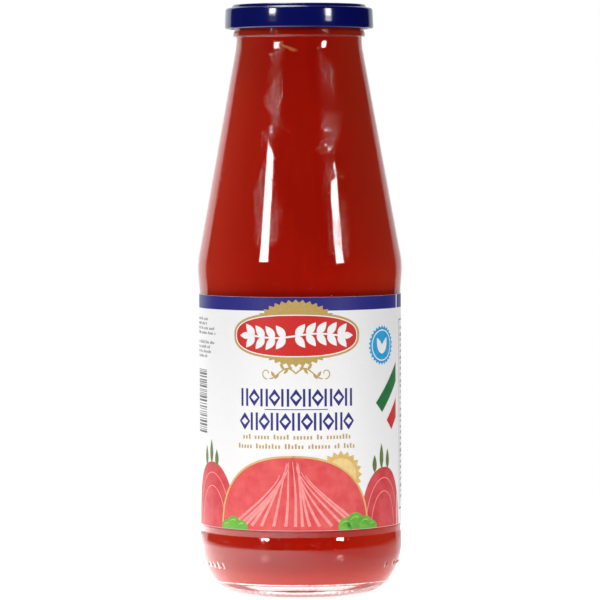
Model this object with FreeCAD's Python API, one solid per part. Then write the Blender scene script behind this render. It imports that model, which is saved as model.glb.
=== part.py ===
import FreeCAD, Part
import math
import os

# A glass passata bottle with its sauce, its twist-off metal cap and its paper label.
#
# Each piece is turned about the Z axis, so it is drawn as half a section in radius and
# height, and revolved. The origin is the middle of the ring that the bottle stands on,
# +Z is up, and the middle of the label's front faces -Y. All sizes are in millimetres.

Vector = FreeCAD.Vector
AXIS_FOOT = Vector(0, 0, 0)
UP = Vector(0, 0, 1)

# ---- Driving dimensions -----------------------------------------------------------

TOTAL_HEIGHT = 222.4  # from the table to the top of the closed cap

# The glass body, from its heel up to its shoulder
BODY_DIAMETER = 77.5  # at the shoulder band, the widest place
PANEL_RECESS = 0.55  # the label panel lies this far inside the shoulder band
HEEL_RECESS = 0.35  # the band over the heel lies this far inside the shoulder band
HEEL_RADIUS = 24.5
HEEL_BAND = 3.2  # straight glass between the heel and the label panel
STEP_HEIGHT = 1.8  # of the soft steps at both ends of the label panel
STEP_ROUNDING = 1.6
SHOULDER_BAND = 8.6  # up to where the lines of the band and the cone would cross
SHOULDER_RADIUS = 40.0
WALL = 2.4

# The bottom
FLOOR_THICKNESS = 5.3  # at the edge of the floor
FLOOR_RISE = 2.2  # of the domed floor, at its middle
FLOOR_ROUNDING = 5.0
PUNT_RISE = 3.4  # of the hollow under the bottle, at its middle
PUNT_STEP = 1.4  # height of the step from the standing ring into the hollow
PUNT_ROUNDING = 1.5
DOME_RADIUS = 60.0
FOOT_DIAMETER = 62.4  # where the heel ends and the foot's edge begins
FOOT_HEIGHT = 1.9
FOOT_EDGE_WIDTH = 1.0
FOOT_EDGE_RISE = 0.5
FOOT_ROUNDING = 1.5
RING_INSET = 4.2  # from the foot's outside in to the flat that touches the table
RING_WIDTH = 1.7  # of that flat

# The neck and the finish, which the cap closes on
NECK_DIAMETER = 47.6
NECK_HEIGHT = 3.2  # from where the lines of the cone and the neck would cross
NECK_RADIUS = 18.0
BEAD_HEIGHT = 1.7
BEAD_STAND = 1.25  # the bead stands out of the neck by this much
FINISH_STAND = 2.1  # so does the finish
FINISH_SLOPE = 1.3  # height of the slope from the bead out to the finish
RIM_STAND = 0.6  # the sealing rim stands out of the neck by this much
RIM_HEIGHT = 2.6
RIM_SLOPE = 1.2
RIM_ROUNDING = 0.8
FINISH_ROUNDING = 0.5

# The sauce
FILL_DROP = 8.4  # from the top of the cap down to the sauce

# The cap
CAP_HEIGHT = 9.2
CAP_SHEET = 0.35
CAP_CORNER_RADIUS = 1.2
SKIRT_CLEARANCE = 1.95  # between the finish and the inside of the skirt
RIM_CLEARANCE = 0.3  # between the rim and the walls of the ring pressed over it
RING_RISE = 1.3  # of the pressed ring over the cap's shoulder
PANEL_DROP = 1.0  # from the pressed ring down to the middle panel
BUTTON_DIAMETER = 19.0  # the button that a vacuum holds down
BUTTON_DROP = 0.5
PRESS_SLOPE = 0.6  # each pressed wall leans out by this much
PRESS_ROUNDING = 0.7
CURL_DIAMETER = 1.5  # of the rolled edge at the foot of the skirt
LUG_COUNT = 4
LUG_SPAN_DEG = 16.0
LUG_HEIGHT = 0.9
LUG_CLEARANCE = 0.5  # between the finish and the lugs

# The label
LABEL_HEIGHT = 87.0
LABEL_MARGIN = 1.7  # bare glass between the label and each step
LABEL_PAPER = 0.12
LAP_SPAN_DEG = 12.0
LAP_AT_DEG = -19.5  # where the lap begins, from +X towards +Y

MIN_ROUNDING = 0.05
SHORTEST_EDGE = 1e-5

# ---- Radii and heights worked out from them ---------------------------------------

body_r = BODY_DIAMETER / 2
panel_r = body_r - PANEL_RECESS
heel_r = body_r - HEEL_RECESS
foot_r = FOOT_DIAMETER / 2
ring_out_r = foot_r - RING_INSET
ring_in_r = ring_out_r - RING_WIDTH
neck_r = NECK_DIAMETER / 2
bore_r = neck_r - WALL
finish_r = neck_r + FINISH_STAND
rim_r = neck_r + RIM_STAND
cap_r = finish_r + SKIRT_CLEARANCE + CAP_SHEET

# The heel's arc ends upright at heel_end_z. Its tangents meet at heel_corner_z.
heel_centre_r = heel_r - HEEL_RADIUS
heel_end_z = FOOT_HEIGHT + math.sqrt(HEEL_RADIUS**2 - (foot_r - heel_centre_r) ** 2)
heel_turn = math.asin((heel_end_z - FOOT_HEIGHT) / HEEL_RADIUS)
heel_corner_z = heel_end_z - HEEL_RADIUS * math.tan(heel_turn / 2)

step_foot_z = heel_end_z + HEEL_BAND
panel_foot_z = step_foot_z + STEP_HEIGHT
label_foot_z = panel_foot_z + LABEL_MARGIN
label_top_z = label_foot_z + LABEL_HEIGHT
panel_top_z = label_top_z + LABEL_MARGIN
shoulder_foot_z = panel_top_z + STEP_HEIGHT
shoulder_corner_z = shoulder_foot_z + SHOULDER_BAND

rim_top_z = TOTAL_HEIGHT - CAP_SHEET
rim_foot_z = rim_top_z - RIM_HEIGHT
fill_z = TOTAL_HEIGHT - FILL_DROP
cap_foot_z = TOTAL_HEIGHT - CAP_HEIGHT
bead_top_z = cap_foot_z - FINISH_SLOPE
bead_foot_z = bead_top_z - BEAD_HEIGHT
neck_corner_z = bead_foot_z - NECK_HEIGHT
cone_turn = math.atan((body_r - neck_r) / (neck_corner_z - shoulder_corner_z))


# ---- Drawing ----------------------------------------------------------------------


def outline(corners):
    """Edges through corners of (radius, height, rounding), each rounded by an arc.

    A rounding takes no more than half of a run that it shares with another one.
    """
    points = [Vector(r, 0, z) for r, z, _ in corners]
    roundings = [rounding for _, _, rounding in corners]
    edges = []
    pen = points[0]
    for i in range(1, len(points) - 1):
        if roundings[i] <= 0:
            edges.append(Part.LineSegment(pen, points[i]).toShape())
            pen = points[i]
            continue
        back = points[i - 1] - points[i]
        ahead = points[i + 1] - points[i]
        half_angle = back.getAngle(ahead) / 2
        room_back = back.Length / (2 if roundings[i - 1] > 0 else 1)
        room_ahead = ahead.Length / (2 if roundings[i + 1] > 0 else 1)
        reach = min(roundings[i] / math.tan(half_angle), room_back, room_ahead)
        radius = reach * math.tan(half_angle)
        back.normalize()
        ahead.normalize()
        inward = (back + ahead).normalize()
        start = points[i] + back * reach
        end = points[i] + ahead * reach
        middle = points[i] + inward * (radius / math.sin(half_angle) - radius)
        if (start - pen).Length > SHORTEST_EDGE:
            edges.append(Part.LineSegment(pen, start).toShape())
        edges.append(Part.Arc(start, middle, end).toShape())
        pen = end
    if (points[-1] - pen).Length > SHORTEST_EDGE:
        edges.append(Part.LineSegment(pen, points[-1]).toShape())
    return edges


def joined(first, second):
    """The straight edge from the end of one outline to the start of another."""
    end = first[-1].valueAt(first[-1].LastParameter)
    start = second[0].valueAt(second[0].FirstParameter)
    return Part.LineSegment(end, start).toShape()


def turned(edges, span_deg=360.0):
    """The solid that a half section sweeps about the Z axis, closed by a straight edge."""
    wire = Part.Wire(edges + [joined(edges, edges)])
    solid = Part.Face(wire).revolve(AXIS_FOOT, UP, span_deg)
    return solid if solid.Volume > 0 else solid.reversed()


def turned_band(in_r, out_r, foot_z, height, span_deg, at_deg):
    """Part of a ring with a rectangular section, starting at_deg from +X towards +Y."""
    top_z = foot_z + height
    corners = [(in_r, foot_z, 0), (out_r, foot_z, 0), (out_r, top_z, 0), (in_r, top_z, 0)]
    band = turned(outline(corners), span_deg)
    band.rotate(AXIS_FOOT, UP, at_deg)
    return band


def underside(corners, sheet):
    """The corners of a sheet's other face, which lies to the right of the first one."""
    headings = []
    for (r, z, _), (next_r, next_z, _) in zip(corners, corners[1:]):
        headings.append(math.atan2(next_z - z, next_r - r))
    headings = [headings[0]] + headings + [headings[-1]]
    other_face = []
    for (r, z, rounding), before, after in zip(corners, headings, headings[1:]):
        turn = math.remainder(after - before, 2 * math.pi)
        middle = before + turn / 2
        reach = sheet / math.cos(turn / 2)
        if rounding > 0:
            rounding = max(rounding + math.copysign(sheet, turn), MIN_ROUNDING)
        place = (r + reach * math.sin(middle), z - reach * math.cos(middle), rounding)
        other_face.append(place)
    return other_face


def dome(radius, edge_z, rise):
    """The flat top of a dome that falls to edge_z at a radius."""
    return [(0, edge_z + rise, 0), (radius / 2, edge_z + rise, DOME_RADIUS)]


# ---- The pieces -------------------------------------------------------------------


def cavity(top_z):
    """Corners of the glass's inside, from the middle of its floor up to a height."""
    in_r = heel_r - WALL
    corner_z = heel_corner_z + WALL * math.tan(heel_turn / 2)
    floor_r = in_r - (corner_z - FLOOR_THICKNESS) * math.tan(heel_turn)
    cone_shift = WALL * math.tan(cone_turn / 2)
    return dome(floor_r, FLOOR_THICKNESS, FLOOR_RISE) + [
        (floor_r, FLOOR_THICKNESS, FLOOR_ROUNDING),
        (in_r, corner_z, HEEL_RADIUS - WALL),
        (in_r, shoulder_foot_z, SHOULDER_RADIUS),
        (body_r - WALL, shoulder_corner_z - cone_shift, SHOULDER_RADIUS - WALL),
        (bore_r, neck_corner_z - cone_shift, NECK_RADIUS + WALL),
        (bore_r, top_z, 0),
    ]


def make_bottle():
    """The glass, from the middle of its punt out and up, over the rim and back down."""
    punt_r = ring_in_r - PUNT_STEP
    punt = dome(punt_r, PUNT_STEP, PUNT_RISE - PUNT_STEP) + [
        (punt_r, PUNT_STEP, PUNT_ROUNDING),
        (ring_in_r, 0, 0),
        (ring_out_r, 0, 0),
    ]
    body = [
        (foot_r - FOOT_EDGE_WIDTH, FOOT_EDGE_RISE, FOOT_ROUNDING),
        (foot_r, FOOT_HEIGHT, 0),
        (heel_r, heel_corner_z, HEEL_RADIUS),
        (heel_r, step_foot_z, STEP_ROUNDING),
        (panel_r, panel_foot_z, STEP_ROUNDING),
        (panel_r, panel_top_z, STEP_ROUNDING),
        (body_r, shoulder_foot_z, STEP_ROUNDING),
        (body_r, shoulder_corner_z, SHOULDER_RADIUS),
        (neck_r, neck_corner_z, NECK_RADIUS),
    ]
    finish = [
        (neck_r, bead_foot_z, FINISH_ROUNDING),
        (neck_r + BEAD_STAND, bead_foot_z, FINISH_ROUNDING),
        (neck_r + BEAD_STAND, bead_top_z, FINISH_ROUNDING),
        (finish_r, cap_foot_z, FINISH_ROUNDING),
        (finish_r, rim_foot_z - RIM_SLOPE, FINISH_ROUNDING),
        (rim_r, rim_foot_z, FINISH_ROUNDING),
        (rim_r, rim_top_z, RIM_ROUNDING),
        (bore_r, rim_top_z, RIM_ROUNDING),
    ]
    return turned(outline(punt + body + finish + cavity(rim_foot_z)[::-1]))


def make_sauce():
    """The sauce, which fills the inside of the glass up to fill_z."""
    return turned(outline(cavity(fill_z) + [(0, fill_z, 0)]))


def make_cap():
    """The pressed sheet of the cap, with its rolled edge and its lugs."""
    ring_out = rim_r + RIM_CLEARANCE + CAP_SHEET
    ring_in = bore_r - RIM_CLEARANCE - CAP_SHEET
    shoulder_z = TOTAL_HEIGHT - RING_RISE
    panel_z = TOTAL_HEIGHT - PANEL_DROP
    button_z = panel_z - BUTTON_DROP
    button_r = BUTTON_DIAMETER / 2
    curl_r = CURL_DIAMETER / 2
    curl_z = cap_foot_z + curl_r
    upper_face = [
        (0, button_z, 0),
        (button_r - PRESS_SLOPE, button_z, PRESS_ROUNDING),
        (button_r, panel_z, PRESS_ROUNDING),
        (ring_in - PRESS_SLOPE, panel_z, PRESS_ROUNDING),
        (ring_in, TOTAL_HEIGHT, PRESS_ROUNDING),
        (ring_out, TOTAL_HEIGHT, PRESS_ROUNDING),
        (ring_out + PRESS_SLOPE, shoulder_z, PRESS_ROUNDING),
        (cap_r, shoulder_z, CAP_CORNER_RADIUS),
        (cap_r, curl_z, 0),
    ]
    upper = outline(upper_face)
    lower = outline(underside(upper_face, CAP_SHEET)[::-1])
    cap = turned(upper + [joined(upper, lower)] + lower)
    cap = cap.fuse(Part.makeTorus(cap_r - curl_r, curl_r, Vector(0, 0, curl_z)))
    for i in range(LUG_COUNT):
        middle_deg = i * 360.0 / LUG_COUNT
        lug = turned_band(
            finish_r + LUG_CLEARANCE,
            cap_r - CAP_SHEET / 2,
            curl_z - LUG_HEIGHT / 2,
            LUG_HEIGHT,
            LUG_SPAN_DEG,
            middle_deg - LUG_SPAN_DEG / 2,
        )
        cap = cap.fuse(lug)
    return cap.removeSplitter()


def make_label():
    """One turn of paper on the label panel, and the lap that closes it."""
    lap_r = panel_r + LABEL_PAPER
    turn = turned_band(panel_r, lap_r, label_foot_z, LABEL_HEIGHT, 360.0, 0)
    lap = turned_band(
        lap_r, lap_r + LABEL_PAPER, label_foot_z, LABEL_HEIGHT, LAP_SPAN_DEG, LAP_AT_DEG
    )
    return turn.fuse(lap)


PIECES = {
    "bottle": make_bottle,
    "sauce": make_sauce,
    "cap": make_cap,
    "label": make_label,
}

os.makedirs("parts", exist_ok=True)
for name, make in PIECES.items():
    shape = make()
    assert len(shape.Solids) == 1 and shape.isValid(), name + " isn't one sound solid"
    solid = shape.Solids[0]
    solid.exportStep(os.path.join("parts", name + ".step"))
    box = solid.optimalBoundingBox(False)
    print(f"{name}: {solid.Volume:.0f} mm3, z {box.ZMin:.2f} to {box.ZMax:.2f}")
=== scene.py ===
import math
import random

import bmesh
import bpy
from mathutils import Matrix, Vector


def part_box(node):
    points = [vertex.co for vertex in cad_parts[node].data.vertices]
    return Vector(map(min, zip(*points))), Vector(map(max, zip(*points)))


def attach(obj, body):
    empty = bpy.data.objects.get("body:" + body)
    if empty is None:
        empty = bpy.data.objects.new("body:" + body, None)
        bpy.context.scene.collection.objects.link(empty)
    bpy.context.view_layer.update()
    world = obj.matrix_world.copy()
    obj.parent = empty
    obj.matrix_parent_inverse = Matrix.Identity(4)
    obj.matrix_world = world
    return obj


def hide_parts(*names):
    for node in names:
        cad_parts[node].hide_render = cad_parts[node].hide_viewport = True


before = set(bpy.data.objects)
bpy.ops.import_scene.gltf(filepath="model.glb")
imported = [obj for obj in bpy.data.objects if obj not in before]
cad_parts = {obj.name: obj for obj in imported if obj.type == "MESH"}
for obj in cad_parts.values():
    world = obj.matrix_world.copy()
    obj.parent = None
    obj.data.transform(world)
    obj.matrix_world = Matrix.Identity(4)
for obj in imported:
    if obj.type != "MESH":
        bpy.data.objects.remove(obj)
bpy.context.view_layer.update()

scene = bpy.context.scene
scene.view_settings.view_transform = "Standard"
MM = 0.001

# ---- Camera -------------------------------------------------------------------------
# A long lens a metre and a half in front of the label, a little below the cap's height,
# so that the cap is seen from just under it and the foot from above.

CAMERA_DISTANCE = 1501 * MM
CAMERA_HEIGHT = 173 * MM
CAMERA_TILT_DEG = 2.39
CAMERA_ROLL_DEG = -0.2
CAMERA_LENS_MM = 237

camera = bpy.data.objects.new("camera", bpy.data.cameras.new("camera"))
camera.data.lens = CAMERA_LENS_MM
camera.matrix_world = (
    Matrix.Translation((0, -CAMERA_DISTANCE, CAMERA_HEIGHT))
    @ Matrix.Rotation(math.radians(90 - CAMERA_TILT_DEG), 4, "X")
    @ Matrix.Rotation(math.radians(CAMERA_ROLL_DEG), 4, "Z")
)
scene.collection.objects.link(camera)
scene.camera = camera

# ---- Studio -------------------------------------------------------------------------
# A dim room with a white sweep behind the bottle, which stands on a round turntable of
# white acrylic. Two upright softboxes stand in front, one on each side, and one hangs
# overhead. Glass mirrors the sweep at its edges, the table below and two streaks.


def linear(hex_code):
    """The linear RGBA of an sRGB colour such as "c8a060"."""
    channels = [int(hex_code[i : i + 2], 16) / 255 for i in (0, 2, 4)]
    return (*(c / 12.92 if c < 0.04045 else ((c + 0.055) / 1.055) ** 2.4 for c in channels), 1)


def add_node(tree, kind, sockets=None, **settings):
    """A new node with its settings, and its sockets set to values or linked to outputs."""
    node = tree.nodes.new("ShaderNode" + kind)
    for name, value in settings.items():
        setattr(node, name, value)
    for name, value in (sockets or {}).items():
        if isinstance(value, bpy.types.NodeSocket):
            tree.links.new(value, node.inputs[name])
        else:
            node.inputs[name].default_value = value
    return node


ROOM_MIRRORED_LEFT = 0.04  # what the glass mirrors of the room, on each side
ROOM_MIRRORED_RIGHT = 0.01
FILL_LEFT = 0.33  # what the room sends back onto everything, from each side
FILL_RIGHT = 0.08
SWEEP_LIGHT = 1.3
SWEEP_HALF_ANGLE_DEG = 43.5
SWEEP_EDGE_SOFTNESS = 0.03
SWEEP_TURN_DEG = -3.5  # the sweep reaches further to the left
SWEEP_FADE_TO_RIGHT = 0.45

scene.world = bpy.data.worlds.new("studio")
scene.world.use_nodes = True
tree = scene.world.node_tree
tree.nodes.clear()
rays = add_node(tree, "LightPath").outputs
direction = add_node(tree, "TexCoord").outputs["Generated"]
turn = math.radians(SWEEP_TURN_DEG)
middle_of_sweep = (math.sin(turn), math.cos(turn), 0)
towards_sweep = add_node(
    tree, "VectorMath", {0: direction, 1: middle_of_sweep}, operation="DOT_PRODUCT"
)
edge = math.cos(math.radians(SWEEP_HALF_ANGLE_DEG))
on_sweep = add_node(
    tree,
    "MapRange",
    {
        "Value": towards_sweep.outputs["Value"],
        "From Min": edge - SWEEP_EDGE_SOFTNESS,
        "From Max": edge + SWEEP_EDGE_SOFTNESS,
    },
    interpolation_type="SMOOTHSTEP",
)
to_right = add_node(tree, "SeparateXYZ", {0: direction}).outputs["X"]


def from_left_to_right(left, right, reach=1.0):
    """A strength that goes evenly from the left of the room to its right."""
    across = {"Value": to_right, "From Min": -reach, "From Max": reach}
    return add_node(tree, "MapRange", across | {"To Min": left, "To Max": right}).outputs[0]


sweep_light = from_left_to_right(SWEEP_LIGHT, SWEEP_LIGHT * (1 - SWEEP_FADE_TO_RIGHT), 0.6)
room_light = add_node(
    tree,
    "Mix",
    {
        "Factor": rays["Is Glossy Ray"],
        2: from_left_to_right(FILL_LEFT, FILL_RIGHT),
        3: from_left_to_right(ROOM_MIRRORED_LEFT, ROOM_MIRRORED_RIGHT),
    },
)
around = add_node(
    tree, "Mix", {"Factor": on_sweep.outputs[0], 2: room_light.outputs[0], 3: sweep_light}
)
# Straight views, also through the glass, see a plain white background behind the bottle.
plainly_seen = add_node(
    tree, "Math", {0: rays["Is Camera Ray"], 1: rays["Is Transmission Ray"]}, operation="MAXIMUM"
)
before_diffuse = add_node(tree, "Math", {0: rays["Diffuse Depth"], 1: 0.5}, operation="LESS_THAN")
as_background = add_node(
    tree, "Math", {0: plainly_seen.outputs[0], 1: before_diffuse.outputs[0]}, operation="MULTIPLY"
)
lit = add_node(tree, "Background", {"Color": (1, 1, 1, 1), "Strength": around.outputs[0]})
white = add_node(tree, "Background", {"Color": (1, 1, 1, 1), "Strength": 1.0})
shown = add_node(
    tree, "MixShader", {0: as_background.outputs[0], 1: lit.outputs[0], 2: white.outputs[0]}
)
add_node(tree, "OutputWorld", {"Surface": shown.outputs[0]})


def softbox(name, place, aim, width, height, radiance):
    """A softbox that faces a point. The glass mirrors it, but never shows it behind."""
    light = bpy.data.lights.new(name, "AREA")
    light.shape = "RECTANGLE"
    light.size = width
    light.size_y = height
    light.energy = radiance * math.pi * width * height
    lamp = bpy.data.objects.new(name, light)
    lamp.location = place
    lamp.rotation_euler = (Vector(place) - Vector(aim)).to_track_quat("Z", "Y").to_euler()
    lamp.visible_camera = False
    lamp.visible_transmission = False
    scene.collection.objects.link(lamp)


CONE_Z = 165 * MM


def upright_softbox(name, azimuth_deg, low_deg, high_deg, width_deg, distance, radiance):
    """A softbox beside the camera, between two elevations as the bottle's cone sees it."""
    from_z = CONE_Z
    low = from_z + distance * math.tan(math.radians(low_deg))
    high = from_z + distance * math.tan(math.radians(high_deg))
    width = 2 * distance * math.tan(math.radians(width_deg / 2))
    azimuth = math.radians(azimuth_deg)
    x = distance * math.sin(azimuth)
    y = -distance * math.cos(azimuth)
    middle = (low + high) / 2
    softbox(name, (x, y, middle), (0, 0, middle), width, high - low, radiance)


upright_softbox("softbox_left", -41.6, 9.6, 18.8, 9.5, 1.5, 34)
upright_softbox("softbox_right", 46.0, 7.4, 17.8, 9.0, 1.5, 27)
softbox("softbox_overhead", (-0.25, 0.25, 1.5), (0, 0.0, 0), 0.7, 0.5, 14)

TABLE_R = 340 * MM
GLOW_SEEN = 0.8  # added to the light it gets, so that it is as white as the background
GLOW_THROUGH_GLASS = 0.7
GLOW_MIRRORED = 1.5  # painted glow that the glass mirrors, brightest near the bottle
GLOW_AT_EDGE = 0.3
GLOW_TO_LEFT = 1.9  # painted glow, times as much to the left of the bottle, and less to the right
GLOW_TO_RIGHT = 0.25
GLOW_SIDE = 80 * MM
GLOW_SENT = 1.1  # what it sends onto the bottle

mesh = bpy.data.meshes.new("turntable")
bm = bmesh.new()
bmesh.ops.create_circle(bm, cap_ends=True, segments=128, radius=TABLE_R)
bm.to_mesh(mesh)
floor = bpy.data.objects.new("turntable", mesh)
scene.collection.objects.link(floor)
acrylic = bpy.data.materials.new("white acrylic")
acrylic.use_nodes = True
tree = acrylic.node_tree
tree.nodes.clear()
rays = add_node(tree, "LightPath").outputs
# Painted pool of light: what the glass mirrors of the table is a glow of its own, brightest near the
# bottle and to the left, and not light that falls on it.
from_axis = add_node(
    tree, "VectorMath", {0: add_node(tree, "TexCoord").outputs["Object"]}, operation="LENGTH"
)
painted_glow_mirrored = add_node(
    tree,
    "MapRange",
    {
        "Value": from_axis.outputs["Value"],
        "From Min": TABLE_R * 0.5,
        "From Max": TABLE_R,
        "To Min": GLOW_MIRRORED,
        "To Max": GLOW_AT_EDGE,
    },
    interpolation_type="SMOOTHSTEP",
)
glow = add_node(tree, "Mix", {"Factor": rays["Is Camera Ray"], 2: GLOW_SENT, 3: GLOW_SEEN})
glow = add_node(
    tree, "Mix", {"Factor": rays["Is Transmission Ray"], 2: glow.outputs[0], 3: GLOW_THROUGH_GLASS}
)
on_table = add_node(tree, "TexCoord").outputs["Object"]
to_side = add_node(
    tree,
    "MapRange",
    {
        "Value": add_node(tree, "SeparateXYZ", {0: on_table}).outputs["X"],
        "From Min": -GLOW_SIDE,
        "From Max": GLOW_SIDE,
        "To Min": GLOW_TO_LEFT,
        "To Max": GLOW_TO_RIGHT,
    },
)
painted_glow_mirrored = add_node(
    tree, "Math", {0: painted_glow_mirrored.outputs[0], 1: to_side.outputs[0]}, operation="MULTIPLY"
)
glow = add_node(
    tree,
    "Mix",
    {"Factor": rays["Is Glossy Ray"], 2: glow.outputs[0], 3: painted_glow_mirrored.outputs[0]},
)
polished = add_node(
    tree, "BsdfPrincipled", {"Base Color": linear("cfcfcf"), "Roughness": 0.06, "IOR": 1.49}
)
shine = add_node(tree, "Emission", {"Strength": glow.outputs[0]})
shown = add_node(tree, "AddShader", {0: polished.outputs[0], 1: shine.outputs[0]})
add_node(tree, "OutputMaterial", {"Surface": shown.outputs[0]})
mesh.materials.append(acrylic)

# ---- Bottle -------------------------------------------------------------------------
# Clear soda-lime glass, blown in a mould: a heavy heel on a knurled standing ring, a
# ridge over it, a recessed panel for the label, a long cone and a bead under the cap. A
# row of mould dots runs round the heel, and the blown skin is slightly wavy.

BODY_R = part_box("bottle")[1][0] / MM
RIM_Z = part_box("bottle")[1][2] / MM
LABEL_LOW, LABEL_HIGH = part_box("label")
WALL = 2.4
PANEL_R = BODY_R - 0.55
HEEL_R = BODY_R - 0.35
NECK_R = 23.8
BORE_R = NECK_R - WALL
PANEL_FOOT = LABEL_LOW[2] / MM - 1.7
PANEL_TOP = LABEL_HIGH[2] / MM + 1.7
STEP = 1.8
HEEL_STRAIGHT = 3.2
SHOULDER_CORNER = PANEL_TOP + STEP + 8.6
CAP_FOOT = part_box("cap")[0][2] / MM
NECK_CORNER = CAP_FOOT - 6.2
SHOULDER_ROUNDING = 40
NECK_ROUNDING = 18
BEAD_OUT = 1.25  # from the neck, like the three sizes below
RECESS_OUT = 0.9
FINISH_OUT = 2.1
RIM_OUT = 0.6
SMALL = 0.5  # rounding of the pressed-looking corners of bead and finish

HEEL_ARC_R = 24.5
FOOT_R = 31.8
FOOT_Z = 2.2
STAND_IN_R = 25.3
STAND_OUT_R = 27.5
UNDERSIDE_Z = 3.4
FLOOR_Z = 5.3
PUSH_UP = 2.2
HEEL_SWELL = 0.1
GROOVE_DEPTH = 0.15
heel_top = PANEL_FOOT - STEP - HEEL_STRAIGHT
heel_turn = math.asin((heel_top - FOOT_Z) / HEEL_ARC_R)
heel_corner = heel_top - HEEL_ARC_R * math.tan(heel_turn / 2)
cone_turn = math.atan((BODY_R - NECK_R) / (NECK_CORNER - SHOULDER_CORNER))

DOT_Z = 11.2
DOT_R = 0.8
DOT_HEIGHT = 0.45
DOT_STEP_DEG = 5.2
DOTS_LEFT = [-52.6 - DOT_STEP_DEG * k for k in range(12) if k % 5 != 4]
DOTS_RIGHT = [60 + DOT_STEP_DEG * k for k in range(5) if k != 1]
BLISTERS = ((-10.6, 175.6), (9.0, 176.0), (10.5, 169.0))  # low rings on the cone
BLISTER_R = 1.9
BLISTER_RISE = 1.2  # times SKIN_HEIGHT
SKIN_HEIGHT = 0.05 * MM
KNURLS = 76
KNURL_HEIGHT = 0.45
KNURL_IN_R = 27.05
KNURL_FADE_LOW = 0.25
KNURL_FADE_HIGH = 0.6
WIDE_R = 30  # the wall round the heel is wider than this, and the foot's underside narrower
TURN_SEGMENTS = 5 * KNURLS


def rounded(corners, longest_run=6.0, arc_step_deg=8.0):
    """Points along straight runs and arcs, from corners of (radius, height, rounding)."""
    points = [Vector((r, z)) for r, z, _ in corners]
    roundings = [rounding for _, _, rounding in corners]
    path = [points[0]]
    for i in range(1, len(points) - 1):
        if roundings[i] <= 0:
            path.append(points[i])
            continue
        back = points[i - 1] - points[i]
        ahead = points[i + 1] - points[i]
        half_angle = back.angle(ahead) / 2
        room_back = back.length / (2 if roundings[i - 1] > 0 else 1)
        room_ahead = ahead.length / (2 if roundings[i + 1] > 0 else 1)
        reach = min(roundings[i] / math.tan(half_angle), room_back, room_ahead)
        back.normalize()
        ahead.normalize()
        radius = reach * math.tan(half_angle)
        centre = points[i] + (back + ahead).normalized() * (radius / math.sin(half_angle))
        start = points[i] + back * reach - centre
        end = points[i] + ahead * reach - centre
        sweep = math.remainder(
            math.atan2(end.y, end.x) - math.atan2(start.y, start.x), 2 * math.pi
        )
        steps = max(2, math.ceil(abs(math.degrees(sweep)) / arc_step_deg))
        for k in range(steps + 1):
            path.append(centre + Matrix.Rotation(sweep * k / steps, 2) @ start)
    path.append(points[-1])
    divided = [path[0]]
    for before, after in zip(path, path[1:]):
        length = (after - before).length
        if length < 1e-4:
            continue
        parts = math.ceil(length / longest_run)
        divided += [before.lerp(after, k / parts) for k in range(1, parts + 1)]
    return divided


def turned(name, path, segments, relief=None):
    """A closed mesh of revolution. relief moves a point outwards by its angle and place.

    Angles run from the front, which is -Y, towards +X. All sizes here are millimetres.
    """
    verts = []
    rings = []
    for r, z in path:
        if r < 1e-4:
            rings.append([len(verts)] * segments)
            verts.append((0, 0, z * MM))
            continue
        rings.append(range(len(verts), len(verts) + segments))
        for k in range(segments):
            angle = 2 * math.pi * k / segments
            out = r + (relief(math.degrees(angle), r, z) if relief else 0)
            verts.append((out * math.sin(angle) * MM, -out * math.cos(angle) * MM, z * MM))
    faces = []
    for low, high in zip(rings, rings[1:]):
        for k in range(segments):
            ahead = (k + 1) % segments
            corners = (low[k], low[ahead], high[ahead], high[k])
            faces.append(tuple(dict.fromkeys(corners)))
    mesh = bpy.data.meshes.new(name)
    mesh.from_pydata(verts, [], faces)
    bm = bmesh.new()
    bm.from_mesh(mesh)
    bmesh.ops.recalc_face_normals(bm, faces=bm.faces)
    bm.to_mesh(mesh)
    bm.free()
    mesh.shade_smooth()
    piece = bpy.data.objects.new(name, mesh)
    scene.collection.objects.link(piece)
    return piece


def cavity(top_z, into_wall=0.0):
    """The inside of the glass, from the middle of its floor up, let into the wall."""
    wall = WALL - into_wall
    corner_z = heel_corner + wall * math.tan(heel_turn / 2)
    floor_z = FLOOR_Z - into_wall
    floor_r = HEEL_R - wall - (corner_z - floor_z) * math.tan(heel_turn)
    shift = wall * math.tan(cone_turn / 2)
    return [
        (0, floor_z + PUSH_UP, 0),
        (floor_r / 2, floor_z + PUSH_UP, 60),
        (floor_r, floor_z, 5),
        (HEEL_R - wall, corner_z, HEEL_ARC_R - wall),
        (HEEL_R - wall, PANEL_TOP + STEP, SHOULDER_ROUNDING),
        (BODY_R - wall, SHOULDER_CORNER - shift, SHOULDER_ROUNDING - wall),
        (NECK_R - wall, NECK_CORNER - shift, NECK_ROUNDING + wall),
        (NECK_R - wall, top_z, 0),
    ]


def glass_relief(angle_deg, r, z):
    """Knurls round the standing ring, and dots that both faces of the heel's wall show."""
    if 0.02 < z < FOOT_Z and r > KNURL_IN_R:
        wave = 0.5 + 0.5 * math.cos(math.radians(angle_deg * KNURLS))
        fade = min(1, z / KNURL_FADE_LOW) * min(1, (FOOT_Z - z) / KNURL_FADE_HIGH)
        return KNURL_HEIGHT * wave * fade
    if abs(z - DOT_Z) < DOT_R and r > WIDE_R:
        for dot in DOTS_LEFT + DOTS_RIGHT:
            across = math.radians(math.remainder(angle_deg - dot, 360)) * r
            away = math.hypot(across, z - DOT_Z) / DOT_R
            if away < 1:
                return DOT_HEIGHT * (1 - away**2)
    return 0


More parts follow.
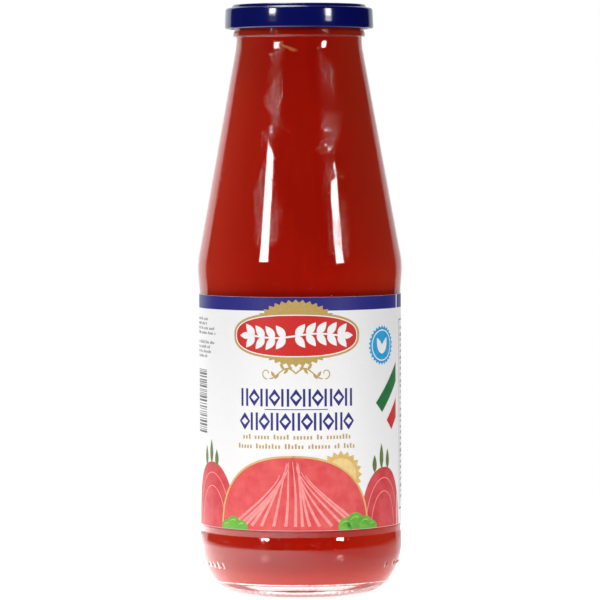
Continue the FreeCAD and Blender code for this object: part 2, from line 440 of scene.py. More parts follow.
heel_arc = [
    (
        HEEL_R + HEEL_SWELL - HEEL_ARC_R * (1 - math.cos(math.radians(lean))),
        heel_top - 0.5 - HEEL_ARC_R * math.sin(math.radians(lean)),
        0,
    )
    for lean in (41, 37, 33, 29, 25, 21, 17, 13, 10, 7, 5, 3, 1, 0)
]
foot_and_heel = [
    (0, UNDERSIDE_Z, 0),
    (12.1, UNDERSIDE_Z, 60),
    (23.9, 1.4, 1.5),
    (STAND_IN_R, 0, 0.3),
    (STAND_OUT_R, 0, 0.3),
    (FOOT_R, FOOT_Z, 0.4),
    *heel_arc,
    (HEEL_R - 0.05, heel_top + 2.75, 0.8),
    (PANEL_R - GROOVE_DEPTH, heel_top + 4.0, 0.8),
    (PANEL_R, PANEL_FOOT + 1, 2),
    (PANEL_R, PANEL_FOOT + 4, 0),
]
panel_to_rim = [
    foot_and_heel[-1],
    (PANEL_R, PANEL_TOP, 1.6),
    (BODY_R, PANEL_TOP + 6.5, 6),
    (BODY_R, SHOULDER_CORNER, SHOULDER_ROUNDING),
    (NECK_R, NECK_CORNER, NECK_ROUNDING),
    (NECK_R, CAP_FOOT - 3.0, SMALL),
    (NECK_R + BEAD_OUT, CAP_FOOT - 3.0, SMALL),
    (NECK_R + BEAD_OUT, CAP_FOOT - 1.5, SMALL),
    (NECK_R + RECESS_OUT, CAP_FOOT - 1.2, SMALL),
    (NECK_R + RECESS_OUT, CAP_FOOT + 0.3, SMALL),
    (NECK_R + FINISH_OUT, CAP_FOOT + 1.2, SMALL),
    (NECK_R + FINISH_OUT, RIM_Z - 3.8, SMALL),
    (NECK_R + RIM_OUT, RIM_Z - 2.6, SMALL),
    (NECK_R + RIM_OUT, RIM_Z, 0.8),
    (BORE_R, RIM_Z, 0.8),
]


def finer(path, low_z, high_z, least_r, run):
    """The path with its runs between two heights divided again."""
    divided = [path[0]]
    for before, after in zip(path, path[1:]):
        inside = before.x > least_r and after.x > least_r
        inside = inside and before.y < high_z and after.y > low_z
        parts = math.ceil((after - before).length / run) if inside else 1
        divided += [before.lerp(after, k / parts) for k in range(1, parts + 1)]
    return divided


# The knurls and the dots need short runs, and the plain panel and cone do with long ones.
lower = rounded(foot_and_heel, 1.8, 5.0)
lower = finer(lower, 0, 2.4, WIDE_R, 0.6)
lower = finer(lower, 10.2, 12.2, WIDE_R, 0.4)
upper = rounded(panel_to_rim + cavity(RIM_Z - 2.6)[::-1], 5, 16.0)
glass = turned("glass_bottle", lower + upper[1:], TURN_SEGMENTS, glass_relief)

bottle_glass = bpy.data.materials.new("blown soda-lime glass")
bottle_glass.use_nodes = True
tree = bottle_glass.node_tree
tree.nodes.clear()
place = add_node(tree, "TexCoord").outputs["Object"]
# The mould leaves sparse pits, well under 1 mm across, over slow waves of some 9 mm.
grain = add_node(
    tree, "TexNoise", {"Vector": place, "Scale": 1 / (0.6 * MM), "Detail": 1.0, "Roughness": 0.5}
)
patches = add_node(tree, "TexNoise", {"Vector": place, "Scale": 1 / (12 * MM), "Detail": 1.0})
sparse = add_node(
    tree,
    "MapRange",
    {
        "Value": patches.outputs[0],
        "From Min": 0.35,
        "From Max": 0.65,
        "To Min": 0.72,
        "To Max": 0.56,
    },
)
pits = add_node(
    tree,
    "MapRange",
    {"Value": grain.outputs[0], "From Min": sparse.outputs[0], "From Max": 0.9, "To Max": -0.8},
)
waves = add_node(tree, "TexNoise", {"Vector": place, "Scale": 1 / (9 * MM), "Detail": 1.0})
skin = add_node(
    tree, "Math", {0: waves.outputs[0], 1: 0.6, 2: pits.outputs[0]}, operation="MULTIPLY_ADD"
)
# Each blister is a low ring: a crest half way between its middle and its edge.
for u, height in BLISTERS:
    r = BODY_R - (height - SHOULDER_CORNER) * math.tan(cone_turn)
    at = (r * math.sin(u / r) * MM, -r * math.cos(u / r) * MM, height * MM)
    away = add_node(tree, "VectorMath", {0: place, 1: at}, operation="DISTANCE")
    within = add_node(
        tree, "Math", {0: away.outputs["Value"], 1: BLISTER_R * MM}, operation="MINIMUM"
    )
    crest = add_node(
        tree, "Math", {0: within.outputs[0], 1: BLISTER_R * MM / 2}, operation="PINGPONG"
    )
    raised = add_node(
        tree,
        "MapRange",
        {"Value": crest.outputs[0], "From Max": BLISTER_R * MM / 2, "To Max": BLISTER_RISE},
        interpolation_type="SMOOTHSTEP",
    )
    skin = add_node(tree, "Math", {0: skin.outputs[0], 1: raised.outputs[0]}, operation="ADD")
bump = add_node(
    tree, "Bump", {"Height": skin.outputs[0], "Strength": 1.0, "Distance": SKIN_HEIGHT}
)
clear = add_node(
    tree,
    "BsdfPrincipled",
    {
        "Base Color": linear("f6faf7"),
        "Roughness": 0.0,
        "IOR": 1.52,
        "Transmission Weight": 1.0,
        "Normal": bump.outputs[0],
    },
)
# Light on its way to the sauce goes straight through, less what the two faces turn back.
straight_through = add_node(tree, "BsdfTransparent", {"Color": linear("f4f4f4")})
rays = add_node(tree, "LightPath").outputs
lighting = add_node(
    tree, "Math", {0: rays["Is Shadow Ray"], 1: rays["Is Diffuse Ray"]}, operation="MAXIMUM"
)
shown = add_node(
    tree,
    "MixShader",
    {0: lighting.outputs[0], 1: clear.outputs[0], 2: straight_through.outputs[0]},
)
add_node(tree, "OutputMaterial", {"Surface": shown.outputs[0]})
glass.data.materials.append(bottle_glass)
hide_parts("bottle")
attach(glass, "root")

# ---- Sauce --------------------------------------------------------------------------
# Strained tomatoes, filled hot and wetting the whole inside of the glass. It is smooth
# but not even: fine pulp, faint streaks down the wall, and a froth mark by the neck.

INTO_WALL = 0.08
FILL_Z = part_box("sauce")[1][2] / MM
FILM = 0.5  # left on the glass above the level when the bottle was turned
FILM_TOP_Z = RIM_Z - 1.6
film_top = [
    (BORE_R + INTO_WALL - FILM, FILM_TOP_Z, 0),
    (BORE_R + INTO_WALL - FILM, FILL_Z, 0.3),
    (0, FILL_Z, 0),
]
sauce_path = rounded(cavity(FILM_TOP_Z, INTO_WALL) + film_top, 12, 9.0)
sauce = turned("tomato_sauce", sauce_path, 192)

tomato = bpy.data.materials.new("strained tomato")
tomato.use_nodes = True
tree = tomato.node_tree
tree.nodes.clear()
place = add_node(tree, "TexCoord").outputs["Object"]
along_wall = add_node(tree, "Mapping", {"Vector": place, "Scale": (1, 1, 0.06)})
streaks = add_node(
    tree, "TexNoise", {"Vector": along_wall.outputs[0], "Scale": 1 / (4 * MM), "Detail": 3.0}
)
pulp = add_node(tree, "TexNoise", {"Vector": place, "Scale": 1 / (1.5 * MM), "Detail": 4.0})
cloud = add_node(tree, "TexNoise", {"Vector": place, "Scale": 1 / (35 * MM), "Detail": 2.0})
mottle = add_node(
    tree, "Math", {0: streaks.outputs[0], 1: 0.5, 2: cloud.outputs[0]}, operation="MULTIPLY_ADD"
)
mottle = add_node(
    tree, "Math", {0: pulp.outputs[0], 1: 0.3, 2: mottle.outputs[0]}, operation="MULTIPLY_ADD"
)
shade = add_node(
    tree, "MapRange", {"Value": mottle.outputs[0], "From Min": 0.65, "From Max": 1.15}
)
deep_red = add_node(
    tree,
    "Mix",
    {"Factor": shade.outputs[0], 6: linear("a01003"), 7: linear("b01505")},
    data_type="RGBA",
)
# Painted light: at glancing views the pulp is painted paler and more orange, standing in for the
# light that the curved glass and the pulp bring in near the edges.
facing_for_painted_light = add_node(tree, "LayerWeight", {"Blend": 0.5})
painted_edge_light = add_node(
    tree, "MapRange", {"Value": facing_for_painted_light.outputs["Facing"], "From Min": 0.02, "From Max": 0.24}
)
red = add_node(
    tree,
    "Mix",
    {"Factor": painted_edge_light.outputs[0], 6: deep_red.outputs[2], 7: linear("be2e1a")},
    data_type="RGBA",
)
# A streak of tan froth was left under the cap when the bottle was filled.
FROTH_X = -5 * MM
FROTH_Z = 206.3 * MM
FROTH_LONG = 4.8 * MM
FROTH_THICK = 0.8 * MM
FROTH_SLOPE = 1.7 * MM
FROTH_WANDER = 4.0 * MM
FROTH_SHARE = 0.7
froth_noise = add_node(tree, "TexNoise", {"Vector": place, "Scale": 1 / (5 * MM), "Detail": 3.0})
froth_at = add_node(tree, "SeparateXYZ", {0: place})
along_froth = add_node(
    tree,
    "MapRange",
    {
        "Value": froth_at.outputs["X"],
        "From Min": FROTH_X - FROTH_LONG,
        "From Max": FROTH_X + FROTH_LONG,
        "To Min": -1.0,
        "To Max": 1.0,
    },
)
line_z = add_node(
    tree,
    "MapRange",
    {
        "Value": along_froth.outputs[0],
        "From Min": -1.0,
        "To Min": FROTH_Z + FROTH_SLOPE,
        "To Max": FROTH_Z - FROTH_SLOPE,
    },
)
line_z = add_node(
    tree,
    "Math",
    {0: froth_noise.outputs[0], 1: FROTH_WANDER, 2: line_z.outputs[0]},
    operation="MULTIPLY_ADD",
)
off_line = add_node(
    tree, "Math", {0: froth_at.outputs["Z"], 1: line_z.outputs[0]}, operation="SUBTRACT"
)
off_line = add_node(
    tree, "Math", {0: off_line.outputs[0], 1: FROTH_WANDER / 2}, operation="ADD"
)
off_line = add_node(tree, "Math", {0: off_line.outputs[0]}, operation="ABSOLUTE")
on_line = add_node(
    tree,
    "MapRange",
    {"Value": off_line.outputs[0], "From Min": FROTH_THICK, "From Max": 0.2 * FROTH_THICK},
)
ends = add_node(tree, "Math", {0: along_froth.outputs[0]}, operation="ABSOLUTE")
inside = add_node(tree, "MapRange", {"Value": ends.outputs[0], "From Min": 1.0, "From Max": 0.6})
front = add_node(tree, "Math", {0: froth_at.outputs["Y"], 1: 0.0}, operation="LESS_THAN")
froth = add_node(tree, "Math", {0: on_line.outputs[0], 1: inside.outputs[0]}, operation="MULTIPLY")
froth = add_node(tree, "Math", {0: froth.outputs[0], 1: front.outputs[0]}, operation="MULTIPLY")
froth = add_node(tree, "Math", {0: froth.outputs[0], 1: FROTH_SHARE}, operation="MULTIPLY")
red = add_node(
    tree,
    "Mix",
    {"Factor": froth.outputs[0], 6: red.outputs[2], 7: linear("cf7d4c")},
    data_type="RGBA",
)
pulpy = add_node(
    tree,
    "BsdfPrincipled",
    {"Base Color": red.outputs[2], "Roughness": 0.5, "IOR": 1.35, "Specular IOR Level": 0.0},
)
# Where it wets the glass, a slanting look is thrown back by the boundary between them.
boundary = add_node(tree, "Fresnel", {"IOR": 1.35 / 1.52})
thrown_back = add_node(tree, "MapRange", {"Value": boundary.outputs[0], "From Min": 0.1})
mirror = add_node(tree, "BsdfAnisotropic", {"Color": (1, 1, 1, 1), "Roughness": 0.0})
wet = add_node(
    tree, "MixShader", {0: thrown_back.outputs[0], 1: pulpy.outputs[0], 2: mirror.outputs[0]}
)
add_node(tree, "OutputMaterial", {"Surface": wet.outputs[0]})
sauce.data.materials.append(tomato)
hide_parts("sauce")
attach(sauce, "root")

# ---- Cap ----------------------------------------------------------------------------
# A twist-off cap, pressed from tinplate and lacquered navy blue: a ring over the glass
# rim, a vacuum button in the middle, and a rolled edge that turns in at four lugs.

CAP_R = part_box("cap")[1][0] / MM
CAP_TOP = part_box("cap")[1][2] / MM
SHEET = 0.35
CURL_R = 0.75
LUGS = 4
LUG_SPAN_DEG = 16
LUG_IN = 0.9
CLEARANCE = 0.3
BUTTON_R = 9.2
BUTTON_DROP = 0.5
SKIRT_DROP = 1.3

RING_OUT = NECK_R + RIM_OUT + CLEARANCE + SHEET
RING_IN = BORE_R - CLEARANCE - SHEET
panel_z = CAP_TOP - 1.0
face = [
    (0, panel_z - BUTTON_DROP, 0),
    (BUTTON_R - 0.3, panel_z - BUTTON_DROP, 0.7),
    (BUTTON_R + 0.3, panel_z, 0.7),
    (RING_IN - 0.6, panel_z, 0.7),
    (RING_IN, CAP_TOP, 0.7),
    (RING_OUT, CAP_TOP, 0.7),
    (RING_OUT + 0.6, CAP_TOP - SKIRT_DROP, 0.7),
    (CAP_R - 0.29, CAP_TOP - SKIRT_DROP, 1.0),
    (CAP_R - 0.12, CAP_FOOT + 4.3, 12),
    (CAP_R, CAP_FOOT + CURL_R, 0),
]
curl = [
    (
        CAP_R - CURL_R + CURL_R * math.cos(math.radians(-15 * k)),
        CAP_FOOT + CURL_R + CURL_R * math.sin(math.radians(-15 * k)),
        0,
    )
    for k in range(1, 17)
]
back = [
    (CAP_R - SHEET, CAP_FOOT + 2 * CURL_R + 0.2, 0.3),
    (CAP_R - 0.34 - SHEET, CAP_TOP - SKIRT_DROP - SHEET, 0.8),
    (RING_OUT + 0.3, CAP_TOP - SKIRT_DROP - SHEET, 0.4),
    (RING_OUT - SHEET, CAP_TOP - SHEET, 0.3),
    (RING_IN + SHEET, CAP_TOP - SHEET, 0.3),
    (RING_IN - 0.3, panel_z - SHEET, 0.4),
    (BUTTON_R + 0.4, panel_z - SHEET, 0.3),
    (BUTTON_R, panel_z - BUTTON_DROP - SHEET, 0.3),
    (0, panel_z - BUTTON_DROP - SHEET, 0),
]


def lugs_turned_in(angle_deg, r, z):
    """Each lug is the inner half of the rolled edge, pushed in towards the glass."""
    if z > CAP_FOOT + 2 * CURL_R or r > CAP_R - CURL_R * 0.8:
        return 0
    away = abs(math.remainder(angle_deg, 360 / LUGS)) / (LUG_SPAN_DEG / 2)
    return -LUG_IN * max(0, 1 - away**4)


cap = turned("screw_cap", rounded(face + curl + back, 3.0, 9.0), 256, lugs_turned_in)

lacquer = bpy.data.materials.new("lacquered tinplate")
lacquer.use_nodes = True
tree = lacquer.node_tree
tree.nodes.clear()
place = add_node(tree, "TexCoord").outputs["Object"]
peel = add_node(tree, "TexNoise", {"Vector": place, "Scale": 1 / (2.5 * MM), "Detail": 2.0})
bump = add_node(tree, "Bump", {"Height": peel.outputs[0], "Strength": 0.25, "Distance": 0.05 * MM})
wear = add_node(tree, "TexNoise", {"Vector": place, "Scale": 1 / (6 * MM), "Detail": 3.0})
rough = add_node(tree, "MapRange", {"Value": wear.outputs[0], "To Min": 0.08, "To Max": 0.13})
navy = add_node(
    tree,
    "Mix",
    {"Factor": wear.outputs[0], 6: linear("080d58"), 7: linear("0b1160")},
    data_type="RGBA",
)
gloss = add_node(
    tree,
    "BsdfPrincipled",
    {
        "Base Color": navy.outputs[2],
        "Roughness": rough.outputs[0],
        "IOR": 1.5,
        "Normal": bump.outputs[0],
    },
)
add_node(tree, "OutputMaterial", {"Surface": gloss.outputs[0]})
cap.data.materials.append(lacquer)
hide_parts("cap")
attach(cap, "root")

# ---- Label paper --------------------------------------------------------------------
# One strip of coated paper, glued round the panel. It starts on the right with the end
# that lies on top, goes once round by the back and the front, and ends under its start.

PAPER = 0.12
PAPER_R = PANEL_R + PAPER  # the outer face of the paper
SEAM_DEG = 70.5
LAP_DEG = 12.0
LAP_EASE_DEG = 3  # over which the lap comes down to the paper's own level
FOOT = LABEL_LOW[2] / MM
TOP = LABEL_HIGH[2] / MM
paper_steps = 372
verts = []
faces = []
for k in range(paper_steps + 1):
    at_deg = SEAM_DEG + (360 + LAP_DEG) * k / paper_steps
    on_lap = min(1, max(0, (SEAM_DEG + LAP_DEG + LAP_EASE_DEG - at_deg) / LAP_EASE_DEG))
    at = math.radians(at_deg)
    for r in (PANEL_R + PAPER * on_lap, PAPER_R + PAPER * on_lap):
        for z in (FOOT, TOP):
            verts.append((r * math.sin(at) * MM, -r * math.cos(at) * MM, z * MM))
    if k:
        a, b = 4 * k - 4, 4 * k
        faces += [(a + i, a + j, b + j, b + i) for i, j in ((0, 1), (1, 3), (3, 2), (2, 0))]
faces.append((0, 1, 3, 2))
faces.append(tuple(4 * paper_steps + corner for corner in (2, 3, 1, 0)))
mesh = bpy.data.meshes.new("label_paper")
mesh.from_pydata(verts, [], faces)
bm = bmesh.new()
bm.from_mesh(mesh)
bmesh.ops.recalc_face_normals(bm, faces=bm.faces)
bm.to_mesh(mesh)
bm.free()
mesh.shade_smooth()
mesh.set_sharp_from_angle(angle=math.radians(40))
label = bpy.data.objects.new("label_paper", mesh)
scene.collection.objects.link(label)


def printed(name, hex_code, shade_hex=None, scale_mm=0.5):
    """Coated paper with one ink on it: an even colour with a fine fleck, satin varnish."""
    material = bpy.data.materials.new(name)
    material.use_nodes = True
    tree = material.node_tree
    tree.nodes.clear()
    place = add_node(tree, "TexCoord").outputs["Object"]
    fleck = add_node(tree, "TexNoise", {"Vector": place, "Scale": 1 / (scale_mm * MM), "Detail": 3.0})
    share = add_node(
        tree, "MapRange", {"Value": fleck.outputs[0], "From Min": 0.35, "From Max": 0.65}
    )
    colour = add_node(
        tree,
        "Mix",
        {"Factor": share.outputs[0], 6: linear(hex_code), 7: linear(shade_hex or hex_code)},
        data_type="RGBA",
    )
    fibre = add_node(tree, "TexNoise", {"Vector": place, "Scale": 1 / (0.8 * MM), "Detail": 2.0})
    bump = add_node(
        tree, "Bump", {"Height": fibre.outputs[0], "Strength": 0.15, "Distance": 0.02 * MM}
    )
    varnish = add_node(
        tree,
        "BsdfPrincipled",
        {
            "Base Color": colour.outputs[2],
            "Roughness": 0.42,
            "IOR": 1.45,
            "Normal": bump.outputs[0],
        },
    )
    add_node(tree, "OutputMaterial", {"Surface": varnish.outputs[0]})
    return material


WHITE = printed("white coated paper", "f3f2f2", "efeeee")
label.data.materials.append(WHITE)
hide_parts("label")
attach(label, "root")

# ---- Printing -----------------------------------------------------------------------
# Offset inks on the paper, under one varnish. Each ink is a film of its own, laid on
# the curve of the label. Positions run along the paper from the middle of the front.

INK = 0.02  # a film of ink, drawn thicker than it is so that films don't touch
FACET = 1.5
ART = -1.6  # the middle of the front artwork, a little left of the middle of the label


def print_on_label(name, ink, shapes, layer=1):
    """Shapes of (along, height) in millimetres become a film of ink on the paper.

    A film with a higher layer lies over those with a lower one.
    """
    bm = bmesh.new()
    for shape in shapes:
        bm.faces.new([bm.verts.new((u, z, 0)) for u, z in shape])
    bmesh.ops.triangulate(bm, faces=[face for face in bm.faces if len(face.verts) > 4])
    low = min(vert.co.x for vert in bm.verts)
    high = max(vert.co.x for vert in bm.verts)
    for cut in range(math.ceil(low / FACET), math.ceil(high / FACET)):
        bmesh.ops.bisect_plane(
            bm,
            geom=bm.verts[:] + bm.edges[:] + bm.faces[:],
            plane_co=(cut * FACET, 0, 0),
            plane_no=(1, 0, 0),
        )
    for vert in bm.verts:
        at = vert.co.x / PAPER_R
        past_seam_deg = (math.degrees(at) - SEAM_DEG) % 360
        on_lap = min(1, max(0, (LAP_DEG + LAP_EASE_DEG - past_seam_deg) / LAP_EASE_DEG))
        r = PAPER_R + PAPER * on_lap + INK * layer
        vert.co = Vector((r * math.sin(at), -r * math.cos(at), vert.co.y)) * MM
    bm.normal_update()
    inward = [f for f in bm.faces if f.normal.dot(f.calc_center_median() * Vector((1, 1, 0))) < 0]
    bmesh.ops.reverse_faces(bm, faces=inward)
    mesh = bpy.data.meshes.new(name)
    bm.to_mesh(mesh)
    bm.free()
    mesh.shade_smooth()
    mesh.materials.append(ink)
    film = bpy.data.objects.new(name, mesh)
    scene.collection.objects.link(film)
    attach(film, "root")


def bar(u0, z0, u1, z1):
    """An upright rectangle between two corners."""
    return [(u0, z0), (u1, z0), (u1, z1), (u0, z1)]


def oval(u, z, half_width, half_height, power=2.0, steps=72):
    """An ellipse. A power above 2 makes its corners fuller."""
    shape = []
    for k in range(steps):
        c = math.cos(2 * math.pi * k / steps)
        s = math.sin(2 * math.pi * k / steps)
        across = math.copysign(abs(c) ** (2 / power), c)
        up = math.copysign(abs(s) ** (2 / power), s)
        shape.append((u + half_width * across, z + half_height * up))
    return shape


def star(u, z, outer, inner, points, squash=1.0):
    """A rosette whose edge goes out and in as many times as it has points."""
    shape = []
    for k in range(2 * points):
        r = inner if k % 2 else outer
        turn = math.pi * k / points
        shape.append((u + r * math.sin(turn), z + squash * r * math.cos(turn)))
    return shape


def ring(outer, inner):
    """The strip between two outlines with the same number of points."""
    count = len(outer)
    return [
        [outer[k], outer[(k + 1) % count], inner[(k + 1) % count], inner[k]] for k in range(count)
    ]


def stroke(points, width_from, width_to=None):
    """A smooth line whose width goes evenly from one value to another."""
    if width_to is None:
        width_to = width_from
    count = len(points)
    sides = []
    for k, (u, z) in enumerate(points):
        before = points[max(k - 1, 0)]
        after = points[min(k + 1, count - 1)]
        along = Vector((after[0] - before[0], after[1] - before[1])).normalized()
        half = (width_from + (width_to - width_from) * k / (count - 1)) / 2
        left = (u - along.y * half, z + along.x * half)
        right = (u + along.y * half, z - along.x * half)
        sides.append((left, right))
    return [[a[0], a[1], b[1], b[0]] for a, b in zip(sides, sides[1:])]


def leaf(u, z, length, width, turn_deg):
    """A pointed leaf that grows from (u, z) in a direction counted from the right."""
    turn = math.radians(turn_deg)
    edge = []
    for k in range(11):
        t = k / 10
        edge.append((length * t, width / 2 * math.sin(math.pi * t**0.8) ** 0.9 if 0 < t < 1 else 0))
    shape = edge + [(a, -b) for a, b in edge[-2:0:-1]]
    return [
        (u + a * math.cos(turn) - b * math.sin(turn), z + a * math.sin(turn) + b * math.cos(turn))
        for a, b in shape
    ]


def greeked(u0, u1, z, height, rng, pitch=1.0):
    """A row of short upright ticks, with gaps, that stands in for small print."""
    ticks = []
    u = u0
    while u < u1:
        for _ in range(rng.randint(2, 8)):
            if u > u1:
                break
            ticks.append(bar(u, z, u + pitch * 0.55, z + height * rng.choice((0.7, 0.7, 1.0))))
            u += pitch
        u += pitch
    return ticks


NAVY = printed("navy ink", "24247c", "292983")
GOLD = printed("gold ink", "b99a52", "c4a661")
RED = printed("red ink", "cc2420", "d22a24")
WHITE_INK = printed("paper left white", "f3f2f2")

# The navy band runs all round along the top edge.
WHOLE_TURN = math.radians(359.8) * PAPER_R
SEAM_U = math.radians(SEAM_DEG) * PAPER_R
print_on_label("band_navy", NAVY, [bar(SEAM_U, 107.9, SEAM_U + WHOLE_TURN, TOP - 0.05)])

# ---- Medallion ----------------------------------------------------------------------
# A red oval with a gold rim over a gold sunburst, and a white sprig of leaves on it.

MEDAL_Z = 98.6
print_on_label("sunburst_gold", GOLD, [star(ART, 99.6, 17.2, 15.6, 40, 0.73)], 2)
print_on_label("medallion_rim_gold", GOLD, [oval(ART, MEDAL_Z, 25.0, 8.7, 2.5)], 3)
print_on_label("medallion_line_white", WHITE_INK, [oval(ART, MEDAL_Z, 24.1, 7.9, 2.5)], 4)
print_on_label("medallion_red", RED, [oval(ART, MEDAL_Z, 23.7, 7.5, 2.5)], 5)

sprig = []
stem = [(ART + u, MEDAL_Z + 0.8 * math.sin(u / 5.2)) for u in range(-18, 19)]
sprig += stroke(stem, 0.7)
for k in range(-4, 5):
    u, z = stem[18 + 4 * k]
    side = 180 if k < 0 else 0
    lean = -1 if k < 0 else 1
    sprig.append(leaf(u, z, 5.6, 2.9, side + lean * 52))
    sprig.append(leaf(u, z, 5.6, 2.9, side - lean * 52))
sprig.append(leaf(ART + 17.5, MEDAL_Z, 4.6, 2.6, 0))
sprig.append(leaf(ART - 17.5, MEDAL_Z, 4.6, 2.6, 180))
print_on_label("sprig_white", WHITE_INK, sprig, 6)

# ---- Scroll -------------------------------------------------------------------------
# A thin gold vine with a curl at each end, between the medallion and the friezes.

SCROLL_Z = 84.6
scroll = []
for side in (-1, 1):
    vine = [
        (ART + side * u / 2, SCROLL_Z + 1.9 * math.sin(math.pi * u / 13))
        for u in range(0, 21)
    ]
    scroll += stroke(vine, 0.55, 0.45)
    centre_u = vine[-1][0] + side * 1.0
    centre_z = vine[-1][1] + 2.0
    curl_points = []
    for k in range(26):
        turn = -0.5 * math.pi + 0.2 * k
        r = 2.2 * (1 - k / 30)
        curl_points.append((centre_u + side * r * math.cos(turn), centre_z + r * math.sin(turn)))
    scroll += stroke(curl_points, 0.45, 0.3)
    for step, lean in ((3, 1), (6, -1), (9, 1), (13, -1), (16, 1)):
        u, z = vine[step]
        scroll.append(leaf(u, z, 2.6, 1.1, (90 - side * 90) + side * lean * 55))
print_on_label("scroll_gold", GOLD, scroll)

# ---- Friezes ------------------------------------------------------------------------
# Two navy rows of lozenges and bars, the lower one turned over, and a thin rule between.


def frieze(z, half_height, motifs, pitch, offset):
    """Lozenges with a core, and a pair of bars between each two."""
    shapes = []
    for k in range(motifs):
        u = ART + pitch * (k - (motifs - 1) / 2)
        if (k + offset) % 2:
            shapes.append(bar(u - 1.5, z - half_height, u - 0.6, z + half_height))
            shapes.append(bar(u + 0.6, z - half_height, u + 1.5, z + half_height))
        else:
            outer = oval(u, z, 2.3, half_height, 1.0, 4)
            inner = oval(u, z, 1.4, half_height - 1.9, 1.0, 4)
            shapes += ring(outer, inner)
    return shapes


print_on_label("frieze_upper_navy", NAVY, frieze(75.6, 3.3, 11, 4.05, 1))
print_on_label("frieze_lower_navy", NAVY, frieze(66.7, 3.3, 11, 4.05, 0))
print_on_label("rule_navy", NAVY, [bar(ART - 12, 71.05, ART + 12, 71.35)])

dashes = greeked(ART - 21, ART + 21, 60.1, 1.8, random.Random(4), 1.25)
dashes += greeked(ART - 23, ART + 23, 56.6, 1.8, random.Random(9), 1.25)
print_on_label("dashes_gold", GOLD, dashes)

# ---- Picture ------------------------------------------------------------------------
# Rolling fields: a coral hill with furrows and a gold edge, darker hills beside it with
# cypresses on them, a low sun, and bushes in the foreground.

CORAL = printed("coral ink", "d94448", "e25a5a", 4)
PINK = printed("pink ink", "ee8a88", "f29d99", 2)
CRIMSON = printed("crimson ink", "cc353c", "d84e54", 5)
SUN = printed("straw ink", "e0bd72", "d9b063", 2)
CYPRESS = printed("dark green ink", "5d7136", "6c7f40", 1)
BUSH = printed("leaf green ink", "57a52f", "6fb73f", 2)

HILL_U = ART - 1.4
HILL_W = 30.0
HILL_TOP = 53.6
FOOT_LINE = FOOT + 0.1


def hill(u, half_width, top_z, power=2.0, steps=48):
    """The upper half of an oval that stands on the lower edge of the label."""
    return oval(u, FOOT_LINE, half_width, top_z - FOOT_LINE, power, 2 * steps)[: steps + 1]


print_on_label(
    "side_hills_crimson",
    CRIMSON,
    [hill(-40, 13.5, 50.5, 2.2), hill(36.5, 12.5, 48.5, 2.2)],
)
rows = []
for u, top in ((-40, 46.5), (-40, 41.5), (36.5, 44.5), (36.5, 39.5)):
    arch = hill(u, 13.5 * (top - FOOT_LINE) / 24.5, top, 2.0, 24)
    rows += stroke(arch, 0.35)
print_on_label("side_hill_rows_pink", PINK, rows, 2)

trees = []
for u, foot_z, height in (
    (-44.5, 49.0, 7.5),
    (-40.5, 50.0, 9.0),
    (-36.8, 48.8, 6.5),
    (31.0, 46.8, 6.5),
    (35.0, 48.0, 9.5),
    (39.0, 47.8, 7.5),
):
    trees.append(leaf(u, foot_z, height, 2.3, 90))
    trees.append(bar(u - 0.2, foot_z - 1.0, u + 0.2, foot_z + 1.0))
print_on_label("cypresses_green", CYPRESS, trees, 2)

SUN_U = ART + 17
SUN_Z = 46.5
print_on_label("sun_straw", SUN, [star(SUN_U, SUN_Z, 9.2, 7.6, 20)], 2)
PALE_STRAW = printed("pale straw ink", "ecd091", "e6c680", 2)
print_on_label("sun_disc_straw", PALE_STRAW, [oval(SUN_U, SUN_Z, 6.4, 6.4)], 3)
print_on_label("hill_coral", CORAL, [hill(HILL_U, HILL_W, HILL_TOP, 2.3)], 4)
print_on_label("hill_edge_gold", SUN, stroke(hill(HILL_U, HILL_W, HILL_TOP, 2.3), 0.7), 5)

furrows = []
for k in range(-7, 8):
    lean = k / 7
    line = []
    for step in range(13):
        t = step / 12
        u = HILL_U + lean * (4 + 22 * t**1.3) + 1.2 * math.sin(2.2 * t + k)
        z = HILL_TOP - 1.8 - 5.0 * lean**2 - (HILL_TOP - 3.4 - FOOT_LINE - 5.0 * lean**2) * t
        line.append((u, z))
    furrows += stroke(line, 0.25, 1.2)
print_on_label("furrows_pink", PINK, furrows, 5)



def arc(u, z, r, from_deg, to_deg):
    """Points every 10 degrees along an arc, kept above the label's lower edge."""
    turns = [math.radians(deg) for deg in range(from_deg, to_deg, 10)]
    return [(u + r * math.cos(t), max(FOOT_LINE, z + r * math.sin(t))) for t in turns]


bushes = []
lit = []
for u, z, r in (
    (-31, 26.6, 2.6),
    (-27.5, 27.6, 3.3),
    (-23.5, 26.8, 2.7),
    (17.5, 27.4, 3.2),
    (21.5, 28.4, 4.0),
    (26.0, 27.6, 3.4),
    (29.5, 26.8, 2.4),
):
    bushes.append(arc(u, z, r, -30, 211))
    lit += stroke(arc(u, z, 0.6 * r, 60, 151), 0.5, 0.2)
print_on_label("bushes_green", BUSH, bushes, 6)
print_on_label("bush_lights_green", printed("pale green ink", "a5d06a", "98c65c", 2), lit, 7)

# ---- Rosette and ribbon -------------------------------------------------------------
# A sky-blue rosette with a white ring and two leaves, and under it the end of a ribbon
# of green, white and red that comes down from the seam.

BADGE_U = 35.5
BADGE_Z = 94.3
SKY = printed("sky blue ink", "1f9cd6", "2ea8de", 2)
print_on_label("rosette_blue", SKY, [star(BADGE_U, BADGE_Z, 7.5, 6.6, 26)])
badge = ring(oval(BADGE_U, BADGE_Z, 5.9, 5.9), oval(BADGE_U, BADGE_Z, 5.45, 5.45))
badge += [leaf(BADGE_U, BADGE_Z - 3.2, 6.8, 2.9, 90 + lean) for lean in (-26, 26)]
print_on_label("rosette_white", WHITE_INK, badge, 2)

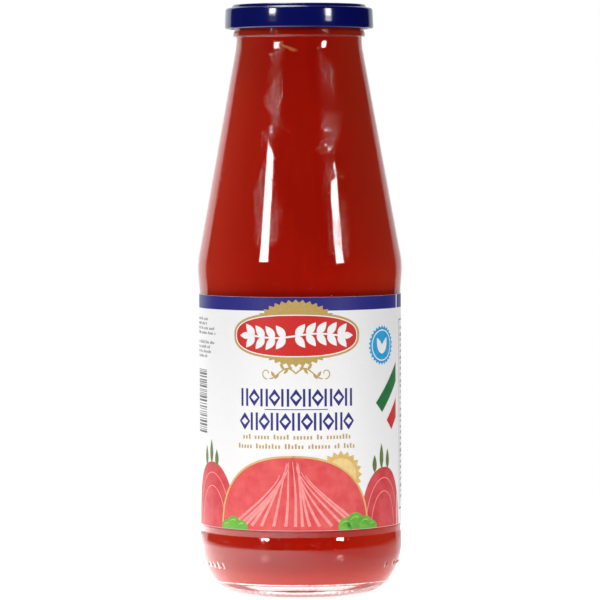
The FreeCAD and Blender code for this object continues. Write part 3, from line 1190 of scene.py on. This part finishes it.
RIBBON_CORNER = Vector((31.8, 72.8))
RIBBON_BAND = 5.2
SEAM_MARGIN = 0.6
along = Vector((1, 1)).normalized()
across = Vector((1, -1)).normalized()
for name, ink, at in (
    ("ribbon_green", printed("pine green ink", "1f7038", "267a40", 2), 0),
    ("ribbon_red", RED, 1.85 * RIBBON_BAND),
):
    high = RIBBON_CORNER + across * at
    low = high + across * RIBBON_BAND
    ends = [p + along * ((SEAM_U - SEAM_MARGIN - p.x) / along.x) for p in (low, high)]
    print_on_label(name, ink, [[tuple(p) for p in (high, low, *ends)]])

# ---- Side and back panels -----------------------------------------------------------
# Rows of small print, a stack of bars and framed tables, all greeked.

GREY = printed("dark grey ink", "55545c", "5c5b63")
rng = random.Random(21)
small = []
for row in range(9):
    if row != 4:
        small += greeked(-57.5, -39.5 + rng.uniform(-5, 2), 103.5 - 1.75 * row, 1.1, rng, 0.85)
z = 61.0
while z < 84.5:
    thick = rng.choice((0.3, 0.3, 0.55, 0.8))
    small.append(bar(-56.5, z, -44.5, z + thick))
    z += thick + rng.choice((0.3, 0.45, 0.7))
for row in range(30):
    small += greeked(52.5, 74 - 6 * (row % 3 == 2), 99.5 - 2.2 * row, 1.1, rng, 0.85)
for row in range(14):
    small += greeked(85, 128, 98 - 4.4 * row, 1.6, rng, 1.1)
for row in range(8):
    small += greeked(-100, -66, 98 - 2.4 * row, 1.2, rng, 0.9)
print_on_label("small_print_grey", GREY, small)

frames = []
for u0, z0, u1, z1, width in ((50.5, 31.5, 77.5, 103.5, 0.45), (-102, 34, -64, 74, 0.45)):
    outer = bar(u0, z0, u1, z1)
    inner = bar(u0 + width, z0 + width, u1 - width, z1 - width)
    frames += ring(outer, inner)
for z in (95.5, 86.7, 77.9, 64.7, 51.5, 38.3):
    frames.append(bar(52, z + 1.5, 76, z + 1.8))
print_on_label("frames_grey", GREY, frames)
garland = []
for k in range(12):
    u = -99.5 + 3 * k
    garland.append(leaf(u, 54, 6.0, 2.4, 62))
    garland.append(leaf(u, 54, 6.0, 2.4, -62))
print_on_label("garland_navy", NAVY, garland)
